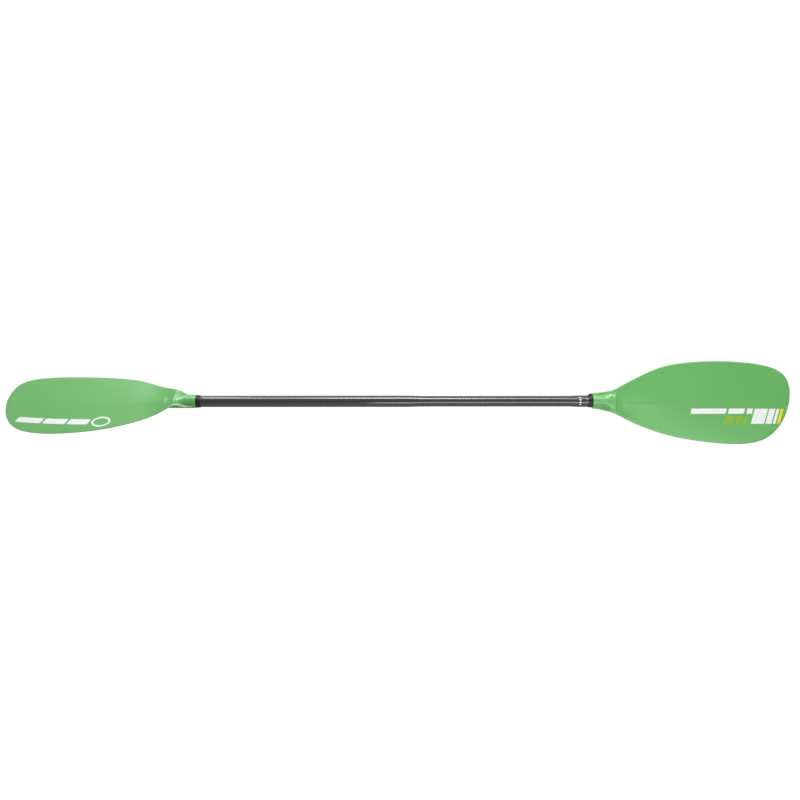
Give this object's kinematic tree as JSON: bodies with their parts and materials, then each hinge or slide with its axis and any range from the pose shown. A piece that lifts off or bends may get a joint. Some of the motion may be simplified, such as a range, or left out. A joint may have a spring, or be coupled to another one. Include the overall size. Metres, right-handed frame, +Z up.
{
  "type": "kayak paddle",
  "caption": "Double-bladed river paddle: straight composite shaft with an oval index grip and asymmetric spooned blades feathered at 45 degrees on bonded neck sockets.",
  "frame": {"origin": "on the shaft's axis, midway between the mouths of the two blade necks", "axes": "+X along the shaft towards the right blade, +Z up, the right blade's power face towards -Y"},
  "size_m": [1.96, 0.1491, 0.2076],
  "materials": {
    "composite": "smooth clear resin over dark woven fibre",
    "blade_nylon": "satin moulded fibre-filled nylon",
    "seal_rubber": "satin black",
    "adhesive": "cured epoxy",
    "foam": "closed-cell foam",
    "white_film": "printed film",
    "lime_film": "printed film",
    "yellow_film": "printed film"
  },
  "bodies": {
    "root": {"shaft": "composite", "right_blade": "blade_nylon", "left_blade": "blade_nylon", "right_collar": "seal_rubber", "left_collar": "seal_rubber", "right_adhesive": "adhesive", "left_adhesive": "adhesive", "right_plug": "foam", "left_plug": "foam", "right_stripes": "white_film", "right_accent": "lime_film", "right_panel": "white_film", "right_tag": "yellow_film", "left_stripes": "white_film", "left_roundel": "white_film", "index_marks": "white_film"}
  },
  "joints": []
}
